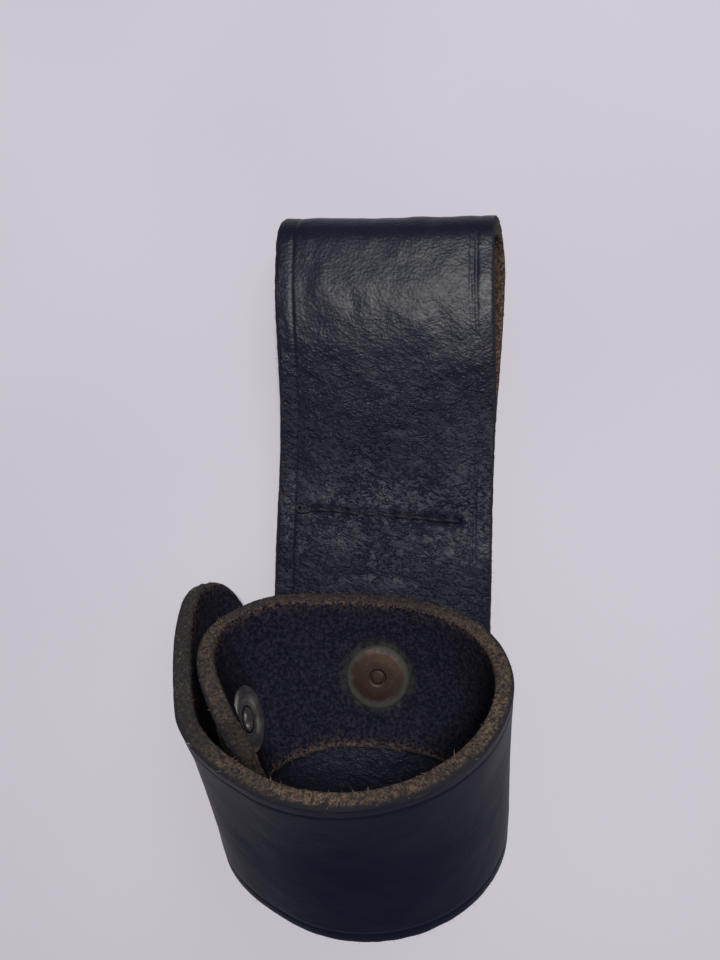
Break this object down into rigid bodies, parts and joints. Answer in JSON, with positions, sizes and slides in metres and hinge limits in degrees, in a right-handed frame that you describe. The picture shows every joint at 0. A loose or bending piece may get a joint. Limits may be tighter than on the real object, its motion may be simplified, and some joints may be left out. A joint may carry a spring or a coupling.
{
  "type": "belt ring holder",
  "caption": "Belt-worn leather ring holder: a folded hanger strap with a sewn belt loop and a flared leather ring riveted to it, closed by a snap fastener.",
  "frame": {"origin": "middle of the hanger's flat back face, under the belt loop", "axes": "+X to the wearer's left across the strap, +Y up towards the belt loop's fold, +Z out of the hanger's front face"},
  "size_m": [0.0628, 0.1303, 0.0557],
  "materials": {
    "hanger_leather": "black, semi-gloss, worn",
    "ring_leather": "black, semi-gloss, raw brown edges",
    "black_thread": "matt",
    "copper": "dull copper with a greenish rim",
    "aged_brass": "aged, dull",
    "spring_steel": "satin"
  },
  "bodies": {
    "hanger": {"hanger_strap": "hanger_leather", "front_thread": "black_thread", "back_thread": "black_thread", "rivet": "copper", "rivet_burr": "copper"},
    "ring": {"ring_band": "ring_leather", "snap_stud": "aged_brass", "snap_post": "aged_brass"},
    "flap": {"ring_flap": "ring_leather", "snap_cap": "aged_brass", "snap_socket": "aged_brass", "snap_spring": "spring_steel"}
  },
  "joints": [
    {"name": "ring_swivel", "type": "hinge", "parent": "hanger", "child": "ring", "pos_m": [0, -0.06, 0.00606], "axis": [0, -0.0801, 0.9968], "range_deg": [-18, 18]},
    {"name": "flap_open", "type": "hinge", "parent": "ring", "child": "flap", "pos_m": [-0.02362, -0.07809, 0.03942], "axis": [-0.2017, 0.8631, 0.463], "range_deg": [0, 60], "stiffness_Nm_per_rad": 0.1}
  ]
}
